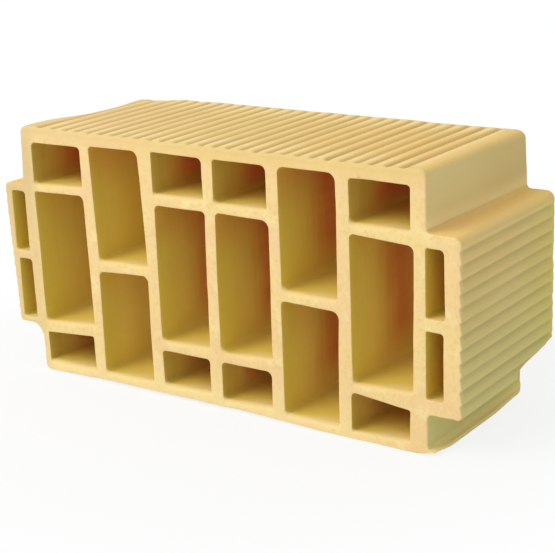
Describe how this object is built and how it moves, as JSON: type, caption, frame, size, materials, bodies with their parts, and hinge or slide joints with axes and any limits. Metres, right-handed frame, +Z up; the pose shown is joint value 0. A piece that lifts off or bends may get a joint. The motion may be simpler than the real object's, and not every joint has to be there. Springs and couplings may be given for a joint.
{
  "type": "hollow clay block",
  "caption": "Extruded hollow clay floor block with rows of through cells, fluted faces and a stepped bearing nose on each side, for infill between joists.",
  "frame": {"origin": "on the underside, under the middle of the whole width and half way along the cells", "axes": "+X across the width from nose to nose, +Y along the cells away from the viewer, +Z up"},
  "size_m": [0.406, 0.145, 0.2],
  "materials": {
    "fired_clay": "unglazed, matt and slightly sandy"
  },
  "bodies": {
    "root": {"clay_block": "fired_clay"}
  },
  "joints": []
}
